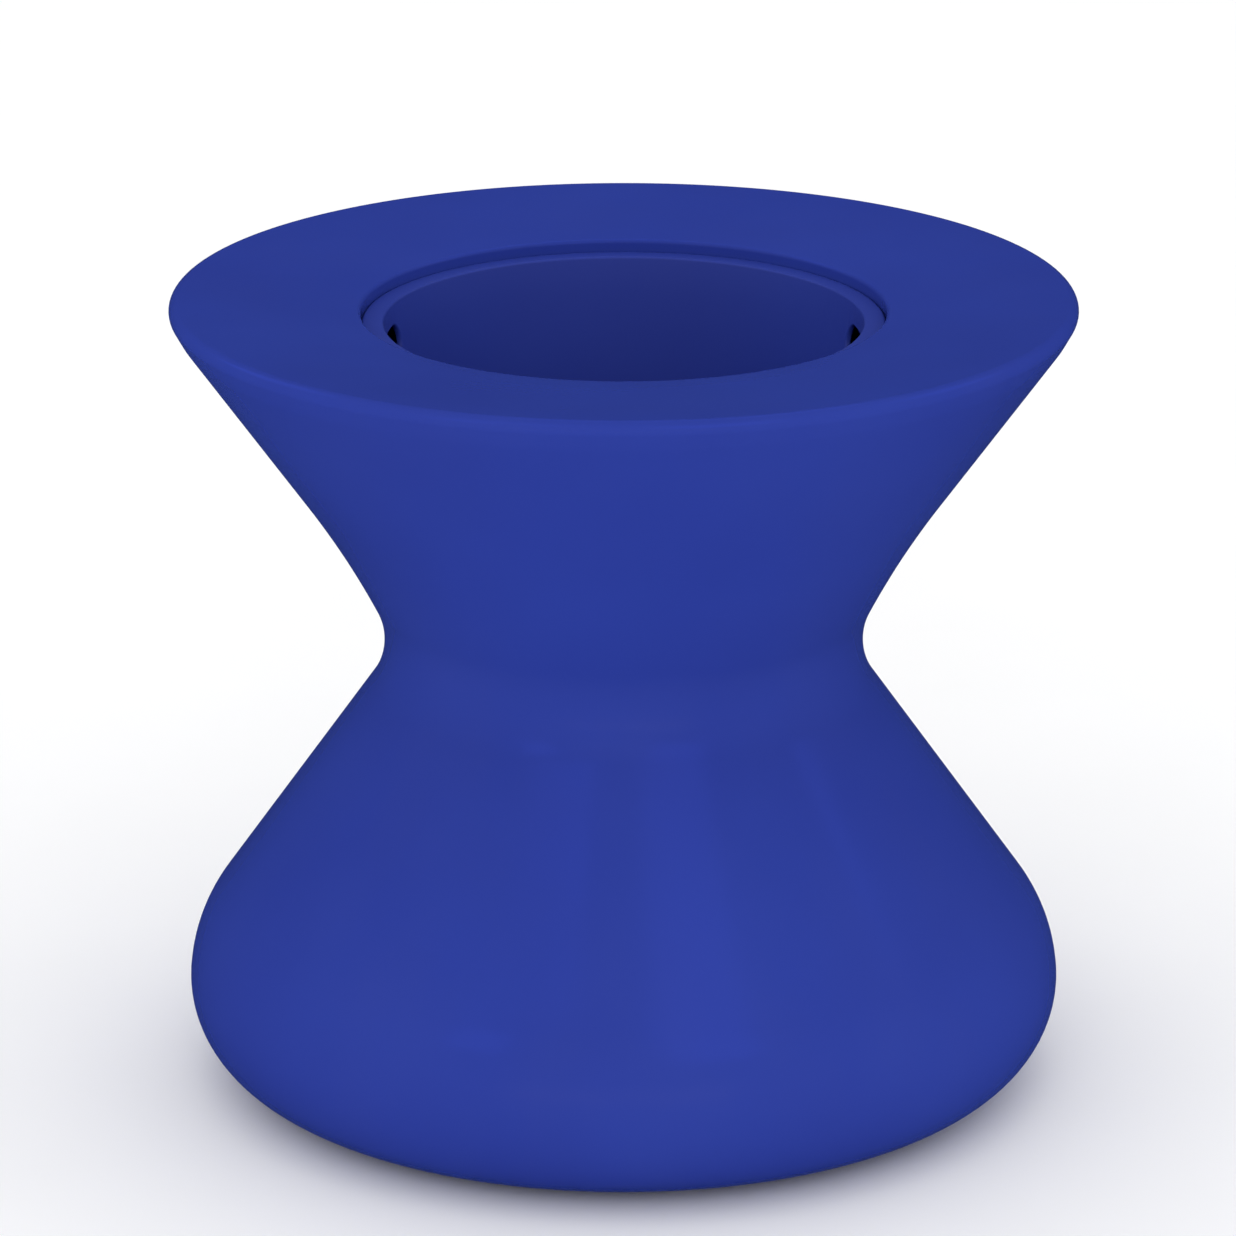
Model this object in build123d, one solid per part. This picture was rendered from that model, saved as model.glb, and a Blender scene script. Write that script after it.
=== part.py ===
from build123d import *
import math
import os

# Ice bin side table: a moulded hourglass body with a dished top ring, a lift-out
# insulated ice bin hung in its mouth, and a drain that runs down the middle.
# Millimetres, +Z up. The origin is on the floor, on the axis of the table.

# Body outline, corner by corner, before the corners are rounded
table_height = 552.0
rim_radius = 310.1
ring_fall = 9.9
mouth_radius = 176.7
brow_drop = 21.0
brow_radius = 298.4
waist_height = 305.7
waist_radius = 153.2
waist_rise = 75.2
waist_flare = 37.9
skirt_rise = 103.1
skirt_radius = 294.5
foot_radius = 307.4
recess_radius = 188.0
recess_depth = 28.0
recess_draft = 5.0
shell_wall = 5.0

# Rounding of the body outline
rim_round = 6.5
recess_round = 8.0
mouth_round = 3.0
foot_arc_share = 0.73
skirt_arc_share = 0.25
waist_low_arc_share = 0.42
waist_high_arc_share = 0.56
brow_arc_share = 0.12

# Collar and ledge that carry the ice bin
ledge_depth = 16.0
ledge_width = 10.0
seat_ring_height = 3.0
seat_ring_margin = 1.0

# Foot pads, their bosses and screws
pad_count = 6
pad_circle_radius = 209.0
pad_radius = 16.0
pad_proud = 3.0
pad_pocket_depth = 4.0
pad_pocket_gap = 0.3
pad_edge = 1.0
pad_boss_radius = 21.0
pad_boss_height = 16.0
pad_screw_radius = 2.5
pad_screw_length = 16.0
pad_screw_gap = 0.1
pad_head_radius = 4.75
pad_head_height = 3.0
pad_head_cover = 1.6
pad_head_gap = 0.4
pad_drive_radius = 1.5
pad_drive_depth = 1.8

# Ice bin
bin_wall = 4.0
bin_pass_gap = 1.2
bin_lip_height = 5.0
bin_lip_gap = 0.8
bin_lip_round = 1.8
bin_depth = 225.0
bin_floor_radius = 128.0
bin_floor_fall = 5.0
bin_floor_round = 28.0
hand_slot_width = 92.0
hand_slot_height = 24.0
hand_slot_drop = 9.0

# Foam jacket round the ice bin
jacket_gap = 0.4
jacket_top_radius = 163.0
jacket_base_radius = 150.0
jacket_top_drop = 79.0
jacket_floor = 21.0

# Drain body in the floor of the ice bin
drain_bore = 11.5
drain_flange_radius = 32.0
drain_flange_height = 4.0
drain_flange_edge = 1.0
drain_gasket_height = 2.5
drain_gasket_margin = 1.0
drain_sump_gap = 2.5
drain_cup_radius = 18.0
drain_cup_depth = 14.0
drain_thread_radius = 22.0
drain_thread_length = 23.0
drain_hole_gap = 0.3
drain_nut_half_flats = 29.0
drain_nut_height = 10.0
spigot_radius = 16.4
spigot_neck = 5.0
spigot_length = 50.0
spigot_lead = 1.5
spigot_seal_height = 14.0

# Strainer
strainer_gap = 0.3
strainer_height = 1.5
strainer_hole_radius = 1.5
strainer_ring_counts = (6, 12)
strainer_ring_pitch = 5.2

# Drain stopper
stopper_gap = 0.6
stopper_clearance = 1.5
stopper_flange_radius = 23.0
stopper_flange_height = 3.0
stopper_neck_radius = 6.5
stopper_neck_height = 9.0
stopper_knob_radius = 14.0
stopper_knob_height = 9.0
stopper_knob_round = 4.0
stopper_seal_drop = 5.0

# Rubber rings of round section
ring_section_radius = 1.6
ring_groove_gap = 0.1
ring_squeeze_gap = 0.15

# Standpipe and the outlet under the body
thread_gap = 0.1
pipe_wall = 3.2
pipe_slip_gap = 0.5
pipe_overlap = 42.0
bell_radius = 27.0
bell_height = 12.0
bell_wall = 3.0
outlet_flange_radius = 34.0
outlet_flange_height = 5.0
outlet_gasket_height = 2.5
outlet_gasket_margin = 2.0
outlet_tail_length = 26.0
outlet_nut_half_flats = 23.0
outlet_nut_height = 12.0
outlet_stub_radius = 18.0
outlet_stub_length = 9.5
outlet_socket_radius = 13.25
outlet_socket_depth = 16.0
outlet_hole_gap = 0.3
nut_chamfer = 1.5

# Ballast drain: a bung in the base and the plug that screws into it
bung_offset = 112.0
bung_flange_radius = 30.0
bung_flange_height = 4.0
bung_gasket_height = 2.0
bung_gasket_margin = 1.5
bung_barrel_radius = 21.0
bung_bore = 17.0
bung_inner_length = 16.0
bung_nut_half_flats = 27.0
bung_nut_height = 8.0
plug_turn_gap = 0.06
plug_shank_length = 17.0
plug_shank_wall = 3.5
plug_flange_radius = 26.0
plug_flange_height = 4.0
plug_ring_radius = 21.5
plug_ring_proud = 0.8
plug_ring_clearance = 0.1
plug_grip_width = 9.0
plug_grip_length = 44.0
plug_grip_height = 8.0

# How far a cutter runs past the face it cuts
overrun = 1.0


def disc(radius, low, high):
    """Solid round slab about the axis, between two heights."""
    return Pos(0, 0, low) * extrude(Circle(radius), high - low)


def tube(inner, outer, low, high):
    """Round sleeve about the axis, between two heights."""
    return Pos(0, 0, low) * extrude(Circle(outer) - Circle(inner), high - low)


def spin(section):
    """Solid turned about the table's axis from a half section of radius and height."""
    return revolve(Plane.XZ * section, Axis.Z)


def spin_points(*points):
    """Turned solid with straight runs between its corners."""
    return spin(make_face(Polyline(*points, close=True)))


def band(inner, outer, low, high):
    """Rectangle of a half section."""
    return Pos((inner + outer) / 2, (low + high) / 2) * Rectangle(outer - inner, high - low)


def run(start, end):
    """Length of a straight run of an outline."""
    return math.dist(start, end)


def arc_radius(before, corner, after, reach):
    """Radius of the tangent arc that starts at this reach from a corner."""
    back = Vector(*before) - Vector(*corner)
    on = Vector(*after) - Vector(*corner)
    return reach * math.tan(math.radians(back.get_angle(on) / 2))


def whole(half):
    """Both halves of a section, so that an offset has no wall on the axis."""
    return half + mirror(half, Plane.YZ)


def nut(bore, half_flats, low, height):
    """Hexagon nut with its corners turned down."""
    hexagon = extrude(RegularPolygon(half_flats, 6, major_radius=False) - Circle(bore), height)
    corner = half_flats / math.cos(math.pi / 6)
    turned = chamfer(extrude(Circle(corner), height).edges(), nut_chamfer)
    return Pos(0, 0, low) * (hexagon & turned)


# Heights that follow from the sizes above
foot_height = pad_proud
base_under = foot_height + recess_depth
base_top = base_under + shell_wall
mouth_height = table_height - ring_fall
ledge_height = mouth_height - ledge_depth
ledge_radius = mouth_radius - ledge_width
collar_radius = mouth_radius + shell_wall
lip_under = ledge_height + seat_ring_height
lip_top = lip_under + bin_lip_height
lip_radius = mouth_radius - bin_lip_gap
bin_mouth_radius = ledge_radius - bin_pass_gap - bin_wall
bin_floor_height = lip_top - bin_depth
sump_height = bin_floor_height - bin_floor_fall
sump_radius = drain_flange_radius + drain_sump_gap
sump_seat = sump_height - drain_flange_height - drain_gasket_height
sump_under = sump_seat - bin_wall
drain_low = sump_height - drain_thread_length
spigot_high = drain_low - spigot_neck
spigot_low = spigot_high - spigot_length
strainer_seat = sump_height - drain_cup_depth
pipe_bore = spigot_radius + pipe_slip_gap
pipe_radius = pipe_bore + pipe_wall
pipe_top = spigot_low + pipe_overlap
outlet_tail_radius = pipe_bore - thread_gap
outlet_seat = base_under - outlet_gasket_height
outlet_low = outlet_seat - outlet_flange_height - outlet_stub_length
outlet_nut_top = base_top + outlet_nut_height
bung_seat = base_under - bung_gasket_height
bung_low = bung_seat - bung_flange_height


def shell_outline():
    """Outer skin of the body, from the axis under the base round to the mouth."""
    corners = [
        (0, base_under),
        (recess_radius - recess_draft, base_under),
        (recess_radius, foot_height),
        (foot_radius, foot_height),
        (skirt_radius, foot_height + skirt_rise),
        (waist_radius, waist_height),
        (waist_radius + waist_flare, waist_height + waist_rise),
        (brow_radius, table_height - brow_drop),
        (rim_radius, table_height),
        (mouth_radius, mouth_height),
    ]
    reaches = {
        3: foot_arc_share * run(corners[3], corners[4]),
        4: skirt_arc_share * run(corners[3], corners[4]),
        5: waist_low_arc_share * run(corners[5], corners[6]),
        6: waist_high_arc_share * run(corners[5], corners[6]),
        7: brow_arc_share * run(corners[7], corners[8]),
    }
    radii = {place: arc_radius(*corners[place - 1:place + 2], reach) for place, reach in reaches.items()}
    radii.update({1: recess_round, 2: recess_round, 8: rim_round})
    skin = FilletPolyline(*corners, radius=[radii[place] for place in range(1, len(corners) - 1)])
    return skin + Polyline(corners[-1], (0, mouth_height), corners[0])


def pad_places():
    """The foot pads stand evenly round the foot ring, one on the X axis."""
    return PolarLocations(pad_circle_radius, pad_count)


def make_table_shell():
    """One even skin: base, bell skirt, waist, flared top, dished ring, collar and ledge."""
    solid_half = make_face(shell_outline())
    inside = offset(whole(solid_half), amount=-shell_wall)
    section = solid_half - inside
    section -= band(0, mouth_radius, mouth_height - shell_wall - overrun, mouth_height + overrun)
    section += band(mouth_radius, collar_radius, ledge_height - shell_wall, mouth_height - shell_wall / 2)
    section += band(ledge_radius, collar_radius, ledge_height - shell_wall, ledge_height)
    edge = section.vertices().sort_by_distance((mouth_radius, mouth_height))[0]
    section = fillet(edge, mouth_round)
    shell = spin(section)

    boss_low = foot_height + pad_pocket_depth
    boss_top = foot_height + shell_wall + pad_boss_height
    for place in pad_places():
        shell += place * disc(pad_boss_radius, boss_low, boss_top)
    for place in pad_places():
        shell -= place * disc(pad_radius + pad_pocket_gap, foot_height - overrun, boss_low)
        shell -= place * disc(pad_screw_radius + pad_screw_gap, foot_height, pad_screw_tip() + overrun)
    shell -= disc(outlet_tail_radius + outlet_hole_gap, base_under - overrun, base_top + overrun)
    bung_hole = disc(bung_barrel_radius + outlet_hole_gap, base_under - overrun, base_top + overrun)
    shell -= Pos(bung_offset, 0, 0) * bung_hole
    return shell


def pad_screw_tip():
    """Height of a pad screw's point."""
    return pad_head_cover + pad_head_height + pad_screw_length


def make_foot_pads():
    """Rubber discs let into the foot ring, with a sunk hole for the screw."""
    high = foot_height + pad_pocket_depth
    pad = disc(pad_radius, 0, high)
    pad = chamfer(pad.edges().group_by(Axis.Z)[0], pad_edge)
    pad -= disc(pad_head_radius + pad_head_gap, -overrun, pad_head_cover + pad_head_height)
    pad -= disc(pad_screw_radius + pad_screw_gap, 0, high + overrun)
    return [place * pad for place in pad_places()]


def make_pad_screws():
    """Pan-head screws that hold the pads to the bosses."""
    head_top = pad_head_cover + pad_head_height
    head = disc(pad_head_radius, pad_head_cover, head_top)
    head = chamfer(head.edges().group_by(Axis.Z)[0], pad_edge)
    drive = Pos(0, 0, pad_head_cover) * extrude(RegularPolygon(pad_drive_radius, 6), pad_drive_depth)
    screw = head - drive + disc(pad_screw_radius, head_top, pad_screw_tip())
    screw = chamfer(screw.edges().group_by(Axis.Z)[-1], pad_edge)
    return [place * screw for place in pad_places()]


def make_bin_seat_ring():
    """Soft ring on the ledge under the lip of the ice bin."""
    return tube(
        ledge_radius + seat_ring_margin,
        mouth_radius - seat_ring_margin,
        ledge_height,
        ledge_height + seat_ring_height,
    )


def bin_cavity():
    """Half section of the space inside the ice bin."""
    corners = [
        (0, sump_height),
        (sump_radius, sump_height),
        (bin_floor_radius, bin_floor_height),
        (bin_mouth_radius, lip_top),
        (0, lip_top),
    ]
    skin = FilletPolyline(*corners, radius=[0, bin_floor_round, 0])
    return make_face(skin + Polyline(corners[-1], corners[0]))


def hand_slots():
    """Cutter for the two hand slots, right through the wall on both sides."""
    height = lip_under - hand_slot_drop - hand_slot_height / 2
    slot = Plane.YZ * Pos(0, height) * SlotOverall(hand_slot_width, hand_slot_height)
    return extrude(slot, lip_radius, both=True)


def make_ice_bin():
    """Tapered bucket with a flat lip, hand slots and a sump for the drain."""
    cavity = bin_cavity()
    above = band(0, rim_radius, lip_top, table_height)
    section = offset(whole(cavity), amount=bin_wall) - band(-rim_radius, 0, 0, table_height)
    section = section - above - cavity
    section += band(bin_mouth_radius, lip_radius, lip_under, lip_top)
    lip_edges = section.vertices().filter_by_position(Axis.X, bin_mouth_radius, lip_radius)
    section = fillet(lip_edges.group_by(Axis.Y)[-1], bin_lip_round)
    section += band(0, sump_radius + bin_wall, sump_under, sump_height)
    bucket = spin(section)
    bucket -= disc(sump_radius, sump_seat, sump_height + overrun)
    bucket -= disc(drain_thread_radius + drain_hole_gap, sump_under - overrun, sump_seat + overrun)
    return bucket - hand_slots()


def make_bin_insulation():
    """Closed-cell foam cup that fits the bucket and passes the ledge with it."""
    high = lip_top - jacket_top_drop
    low = sump_height - bin_wall - jacket_gap - jacket_floor
    block = make_face(
        Polyline((0, low), (jacket_base_radius, low), (jacket_top_radius, high), (0, high), close=True)
    )
    section = block - offset(whole(bin_cavity()), amount=bin_wall + jacket_gap)
    section -= band(0, sump_radius + bin_wall + jacket_gap, low - overrun, high)
    return spin(section)


def make_drain_body():
    """Flanged cup with a thread below it and a plain spigot for the standpipe."""
    body = spin_points(
        (drain_bore, spigot_low),
        (spigot_radius - spigot_lead, spigot_low),
        (spigot_radius, spigot_low + spigot_lead),
        (spigot_radius, spigot_high),
        (drain_thread_radius, drain_low),
        (drain_thread_radius, sump_height - drain_flange_height),
        (drain_flange_radius, sump_height - drain_flange_height),
        (drain_flange_radius, sump_height - drain_flange_edge),
        (drain_flange_radius - drain_flange_edge, sump_height),
        (drain_cup_radius, sump_height),
        (drain_cup_radius, strainer_seat),
        (drain_bore, strainer_seat),
    )
    return body - round_groove(spigot_ring_centre(), spigot_radius, spigot_ring_height())


def round_groove(centre, surface, height):
    """Square groove in a shaft for a rubber ring."""
    half = ring_section_radius + ring_groove_gap
    return tube(centre - half, surface + overrun, height - half, height + half)


def spigot_ring_centre():
    """Radius of the middle of the spigot's ring, just clear of the pipe."""
    return pipe_bore - ring_squeeze_gap - ring_section_radius


def spigot_ring_height():
    """Height of the spigot's ring."""
    return spigot_low + spigot_seal_height


def make_spigot_ring():
    """Rubber ring that seals the spigot in the standpipe."""
    return Pos(0, 0, spigot_ring_height()) * Torus(spigot_ring_centre(), ring_section_radius)


def make_drain_gasket():
    """Flat washer between the drain flange and the sump."""
    return tube(
        drain_thread_radius + drain_hole_gap,
        drain_flange_radius - drain_gasket_margin,
        sump_seat,
        sump_seat + drain_gasket_height,
    )


def make_drain_nut():
    """Nut that pulls the drain flange down from under the bin."""
    low = sump_under - drain_nut_height
    return nut(drain_thread_radius + thread_gap, drain_nut_half_flats, low, drain_nut_height)


def make_drain_strainer():
    """Pierced disc at the bottom of the drain cup, under the stopper."""
    radius = drain_cup_radius - strainer_gap
    plate = Circle(radius) - Circle(strainer_hole_radius)
    for ring, count in enumerate(strainer_ring_counts, start=1):
        plate -= PolarLocations(ring * strainer_ring_pitch, count) * Circle(strainer_hole_radius)
    return Pos(0, 0, strainer_seat) * extrude(plate, strainer_height)


def stopper_ring_centre():
    """Radius of the middle of the stopper's ring, just clear of the cup."""
    return drain_cup_radius - ring_squeeze_gap - ring_section_radius


def make_drain_stopper():
    """Plug that drops into the drain cup, with a round knob to lift it by."""
    low = strainer_seat + strainer_height + stopper_clearance
    flange_top = sump_height + stopper_flange_height
    neck_top = flange_top + stopper_neck_height
    top = neck_top + stopper_knob_height
    shank = drain_cup_radius - stopper_gap
    outline = FilletPolyline(
        (0, low),
        (shank, low),
        (shank, sump_height),
        (stopper_flange_radius, sump_height),
        (stopper_flange_radius, flange_top),
        (stopper_neck_radius, flange_top),
        (stopper_neck_radius, neck_top),
        (stopper_knob_radius, neck_top),
        (stopper_knob_radius, top),
        (0, top),
        radius=[0, 0, 0, drain_flange_edge, 0, 0, drain_flange_edge, stopper_knob_round],
    )
    stopper = spin(make_face(outline + Polyline((0, top), (0, low))))
    return stopper - round_groove(stopper_ring_centre(), shank, sump_height - stopper_seal_drop)


def make_stopper_ring():
    """Rubber ring in the stopper's groove."""
    height = sump_height - stopper_seal_drop
    return Pos(0, 0, height) * Torus(stopper_ring_centre(), ring_section_radius)


def make_standpipe():
    """Plain pipe over the outlet's tail, belled at the top to guide the spigot in."""
    return spin_points(
        (pipe_bore, outlet_nut_top),
        (pipe_radius, outlet_nut_top),
        (pipe_radius, pipe_top - bell_height),
        (bell_radius, pipe_top),
        (bell_radius - bell_wall, pipe_top),
        (pipe_bore, pipe_top - bell_height + bell_wall),
    )


def make_outlet_fitting():
    """Flanged drain through the base, with a socket below and a tail for the pipe."""
    return spin_points(
        (outlet_socket_radius, outlet_low),
        (outlet_stub_radius, outlet_low),
        (outlet_stub_radius, outlet_seat - outlet_flange_height),
        (outlet_flange_radius, outlet_seat - outlet_flange_height),
        (outlet_flange_radius, outlet_seat),
        (outlet_tail_radius, outlet_seat),
        (outlet_tail_radius, outlet_nut_top + outlet_tail_length),
        (drain_bore, outlet_nut_top + outlet_tail_length),
        (drain_bore, outlet_low + outlet_socket_depth),
        (outlet_socket_radius, outlet_low + outlet_socket_depth),
    )


def make_outlet_gasket():
    """Flat washer between the outlet flange and the base."""
    return tube(
        outlet_tail_radius + outlet_hole_gap,
        outlet_flange_radius - outlet_gasket_margin,
        outlet_seat,
        base_under,
    )


def make_outlet_nut():
    """Nut inside the body that clamps the outlet to the base."""
    return nut(outlet_tail_radius + thread_gap, outlet_nut_half_flats, base_top, outlet_nut_height)


def make_ballast_bung():
    """Flanged sleeve through the base that takes the ballast plug."""
    return Pos(bung_offset, 0, 0) * spin_points(
        (bung_bore, bung_low),
        (bung_flange_radius, bung_low),
        (bung_flange_radius, bung_seat),
        (bung_barrel_radius, bung_seat),
        (bung_barrel_radius, base_top + bung_inner_length),
        (bung_bore, base_top + bung_inner_length),
    )


def make_bung_gasket():
    """Flat washer between the bung's flange and the base."""
    washer = tube(
        bung_barrel_radius + outlet_hole_gap,
        bung_flange_radius - bung_gasket_margin,
        bung_seat,
        base_under,
    )
    return Pos(bung_offset, 0, 0) * washer


def make_bung_nut():
    """Nut inside the body that clamps the bung."""
    return Pos(bung_offset, 0, 0) * nut(
        bung_barrel_radius + thread_gap, bung_nut_half_flats, base_top, bung_nut_height
    )


def plug_face():
    """Height of the top face of the plug's flange when it is screwed home."""
    return bung_low - plug_ring_proud - plug_ring_clearance


def make_ballast_plug():
    """Hollow plug with a ring groove in its flange and a bar to turn it by."""
    face = plug_face()
    low = face - plug_flange_height
    shank = bung_bore - plug_turn_gap
    bore = shank - plug_shank_wall
    plug = disc(plug_flange_radius, low, face)
    plug = chamfer(plug.edges().group_by(Axis.Z)[0], drain_flange_edge)
    plug += tube(bore, shank, face, face + plug_shank_length)
    half = ring_section_radius + ring_groove_gap
    groove_low = face + plug_ring_proud - half - ring_section_radius
    plug -= tube(plug_ring_radius - half, plug_ring_radius + half, groove_low, face + overrun)
    grip = extrude(SlotOverall(plug_grip_length, plug_grip_width), plug_grip_height)
    plug += Pos(0, 0, low - plug_grip_height) * grip
    return Pos(bung_offset, 0, 0) * plug


def make_plug_ring():
    """Rubber ring between the plug's flange and the bung."""
    height = plug_face() + plug_ring_proud - ring_section_radius
    return Pos(bung_offset, 0, height) * Torus(plug_ring_radius, ring_section_radius)


nodes = {
    "table_shell": make_table_shell(),
    "foot_pads": make_foot_pads(),
    "pad_screws": make_pad_screws(),
    "bin_seat_ring": make_bin_seat_ring(),
    "ice_bin": make_ice_bin(),
    "bin_insulation": make_bin_insulation(),
    "drain_body": make_drain_body(),
    "drain_gasket": make_drain_gasket(),
    "drain_nut": make_drain_nut(),
    "drain_strainer": make_drain_strainer(),
    "spigot_ring": make_spigot_ring(),
    "drain_stopper": make_drain_stopper(),
    "stopper_ring": make_stopper_ring(),
    "standpipe": make_standpipe(),
    "outlet_fitting": make_outlet_fitting(),
    "outlet_gasket": make_outlet_gasket(),
    "outlet_nut": make_outlet_nut(),
    "ballast_bung": make_ballast_bung(),
    "bung_gasket": make_bung_gasket(),
    "bung_nut": make_bung_nut(),
    "ballast_plug": make_ballast_plug(),
    "plug_ring": make_plug_ring(),
}

os.makedirs("parts", exist_ok=True)
for name, shape in nodes.items():
    solids = shape if isinstance(shape, list) else shape.solids()
    node = Compound(children=list(solids)) if len(solids) > 1 else solids[0]
    export_step(node, f"parts/{name}.step")
    print(name, "solids", len(solids), "volume_cm3", round(sum(s.volume for s in solids) / 1000, 1))
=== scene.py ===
import math

import bmesh
import bpy
from mathutils import Matrix, Vector


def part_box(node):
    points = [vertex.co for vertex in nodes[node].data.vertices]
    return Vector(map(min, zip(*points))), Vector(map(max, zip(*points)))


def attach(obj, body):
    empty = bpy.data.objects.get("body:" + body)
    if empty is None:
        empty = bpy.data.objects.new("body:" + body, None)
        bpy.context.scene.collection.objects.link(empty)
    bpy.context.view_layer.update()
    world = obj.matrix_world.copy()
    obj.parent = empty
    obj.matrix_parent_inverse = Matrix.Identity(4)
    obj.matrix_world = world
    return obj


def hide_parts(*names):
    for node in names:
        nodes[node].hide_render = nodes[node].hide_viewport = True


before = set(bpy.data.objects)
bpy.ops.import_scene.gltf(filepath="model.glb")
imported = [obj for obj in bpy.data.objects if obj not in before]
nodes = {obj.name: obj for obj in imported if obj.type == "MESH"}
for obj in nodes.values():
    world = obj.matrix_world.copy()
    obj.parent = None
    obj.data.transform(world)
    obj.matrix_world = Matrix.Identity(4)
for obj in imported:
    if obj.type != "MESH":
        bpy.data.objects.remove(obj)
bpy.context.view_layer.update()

mm = 0.001

# Outline of the moulded body, the same corners as the solid
table_height = 552.0 * mm
rim_radius = 310.1 * mm
ring_fall = 9.9 * mm
mouth_radius = 176.7 * mm
brow_drop = 21.0 * mm
brow_radius = 298.4 * mm
waist_height = 305.7 * mm
waist_radius = 153.2 * mm
waist_rise = 75.2 * mm
waist_flare = 37.9 * mm
skirt_rise = 103.1 * mm
skirt_radius = 294.5 * mm
foot_radius = 307.4 * mm
recess_radius = 188.0 * mm
recess_depth = 28.0 * mm
recess_draft = 5.0 * mm
shell_wall = 5.0 * mm
rim_round = 6.5 * mm
recess_round = 8.0 * mm
mouth_round = 3.0 * mm
foot_arc_share = 0.73
skirt_arc_share = 0.25
waist_low_arc_share = 0.42
waist_high_arc_share = 0.56
brow_arc_share = 0.12
ledge_depth = 16.0 * mm
ledge_width = 10.0 * mm
outlet_hole_radius = 17.1 * mm

# Foot pads
pad_count = 6
pad_circle_radius = 209.0 * mm
pad_radius = 16.0 * mm
pad_stand = 3.0 * mm
pad_pocket_gap = 0.3 * mm
pad_edge_round = 1.2 * mm
pad_boss_radius = 21.0 * mm
pad_boss_height = 16.0 * mm
pad_head_hole_radius = 5.15 * mm
pad_screw_hole_radius = 2.6 * mm
pad_head_seat = 4.6 * mm
pad_groove_depth = 0.7 * mm
pad_groove_width = 1.1 * mm
pad_groove_pitch = 2.6 * mm
pad_groove_count = 3

# Ice bin
bin_wall = 4.0 * mm
bin_lip_height = 5.0 * mm
bin_lip_radius = 175.9 * mm
bin_lip_round = 1.8 * mm
bin_mouth_radius = 161.5 * mm
bin_floor_radius = 128.0 * mm
bin_floor_fall = 5.0 * mm
bin_floor_round = 28.0 * mm
bin_depth = 225.0 * mm
bin_foot_round = 2.0 * mm
sump_radius = 34.5 * mm
sump_depth = 6.5 * mm
drain_hole_radius = 22.3 * mm
hand_slot_width = 92.0 * mm
hand_slot_height = 24.0 * mm
hand_slot_drop = 9.0 * mm
hand_slot_edge = 1.3 * mm

# Foam jacket
jacket_gap = 0.4 * mm
jacket_edge = 4.0 * mm
jacket_base_radius = 150.0 * mm

# Edges that the fittings share
fine_edge = 0.3 * mm
fitting_edge = 0.6 * mm
shank_round = 1.0 * mm
flange_round = 1.2 * mm

# Drain body and its spigot
drain_bore = 11.5 * mm
drain_flange_height = 4.0 * mm
drain_flange_round = 1.0 * mm
drain_cup_radius = 18.0 * mm
drain_cup_depth = 14.0 * mm
drain_thread_radius = 22.0 * mm
drain_thread_length = 23.0 * mm
spigot_radius = 16.4 * mm
spigot_neck = 5.0 * mm
spigot_round = 1.5 * mm
spigot_groove_depth = 2.95 * mm
spigot_groove_half = 1.7 * mm
spigot_seal_height = 14.0 * mm

# Stopper
stopper_flange_height = 3.0 * mm
stopper_neck_radius = 6.5 * mm
stopper_neck_height = 9.0 * mm
stopper_neck_round = 2.0 * mm
stopper_knob_radius = 14.0 * mm
stopper_knob_round = 4.0 * mm
stopper_shank_radius = 17.4 * mm
stopper_groove_radius = 14.55 * mm
stopper_seal_drop = 5.0 * mm
knob_flute_count = 12
knob_flute_depth = 0.7 * mm

# Standpipe and outlet
pipe_bore = 16.9 * mm
pipe_wall = 3.2 * mm
bell_height = 12.0 * mm
bell_wall = 3.0 * mm
bell_round = 8.0 * mm
outlet_stub_radius = 18.0 * mm
outlet_stub_length = 9.5 * mm
outlet_stub_round = 1.5 * mm
outlet_flange_height = 5.0 * mm
outlet_tail_radius = 16.8 * mm
outlet_socket_radius = 13.25 * mm
outlet_socket_depth = 16.0 * mm
hose_thread_depth = 0.55 * mm
hose_thread_pitch = 2.2 * mm
hose_thread_start = 2.0 * mm
hose_thread_turns = 5

# Ballast bung and plug
bung_offset = 112.0 * mm
bung_bore = 17.0 * mm
bung_barrel_radius = 21.0 * mm
bung_flange_height = 4.0 * mm
bung_flange_round = 1.0 * mm
bung_hole_radius = 21.3 * mm
plug_shank_length = 17.0 * mm
plug_shank_radius = 16.94 * mm
plug_shank_bore = 13.44 * mm
plug_flange_height = 4.0 * mm
plug_ring_radius = 21.5 * mm
plug_groove_half = 1.7 * mm
plug_groove_depth = 2.5 * mm
plug_thread_pitch = 3.0 * mm
plug_thread_depth = 0.9 * mm
plug_thread_start = 1.0 * mm
plug_thread_turns = 4
plug_grip_length = 44.0 * mm
plug_grip_width = 9.0 * mm
plug_grip_round = 2.0 * mm

# A thread's ridge starts, gains its crest, leaves it and ends at these shares of its pitch
thread_shares = (0, 0.32, 0.48, 0.8)

# Fineness of the meshes
body_steps = 180
fitting_steps = 72
thread_steps = 36
slot_steps = 40
slot_cuts = 16
slot_edge_steps = 4
knob_flute_steps = 8
grip_steps = 32
grip_round_steps = 4
arc_stray = 0.012 * mm
fewest_arc_steps = 3
ring_spacing = 24 * mm
weld = 0.001 * mm
crease_angle = math.radians(32)

# How far cutters reach past what they cut, for the hand slots in widths of their rounded edge
overrun = 1.0 * mm
slot_overreach = 1.6

# Places of a colour mix's two colours among its inputs, and of its result among its outputs
mix_low = 6
mix_high = 7
mix_result = 2

# Fields on the surfaces: the part where most of a noise lies, and a whole range
noise_middle = (0.3, 0.7)
whole = (0, 1)
beads_to_metre = 330
scuff_full_height = 4 * mm
scuff_end_height = 20 * mm

# Camera that the photograph was taken with, and its frame in pixels
frame_width = 1236
camera_distance = 4721.4 * mm
camera_height = 1849.2 * mm
camera_pitch = math.radians(17.91)
camera_focus = 7292.2
camera_axis_pixel = 623.7
camera_reach = 100
sensor_width = 36

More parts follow.
